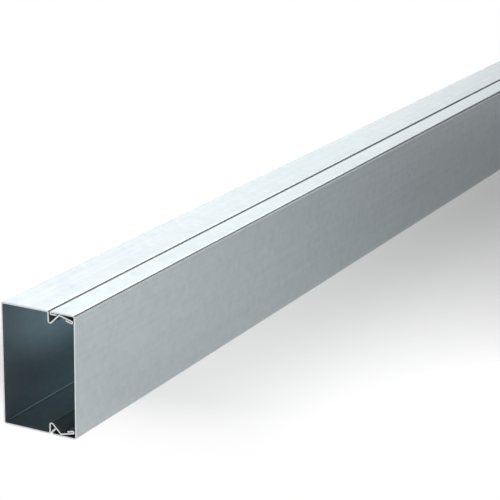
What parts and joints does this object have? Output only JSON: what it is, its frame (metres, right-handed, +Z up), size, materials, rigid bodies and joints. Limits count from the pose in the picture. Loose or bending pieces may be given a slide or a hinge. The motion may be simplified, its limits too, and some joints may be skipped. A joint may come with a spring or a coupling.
{
  "type": "cable trunking",
  "caption": "Rectangular steel cable trunking: a folded sheet base with a locking groove along each side of its open mouth, closed by a full-length clip-on cover.",
  "frame": {"origin": "middle of the underside: half way along the length and half way between the cover's face and the back wall", "axes": "+X along the length, +Y from the cover's face towards the back wall, +Z up, with the trunking lying on one of its narrow sides"},
  "size_m": [2, 0.04, 0.06],
  "materials": {
    "galvanised_steel": "strip galvanised, smooth"
  },
  "bodies": {
    "base": {"trunking_base": "galvanised_steel"},
    "cover": {"cover": "galvanised_steel"}
  },
  "joints": [
    {"name": "cover_slide", "type": "slide", "parent": "base", "child": "cover", "axis": [1, 0, 0], "range_m": [-1.9, 1.9]}
  ]
}
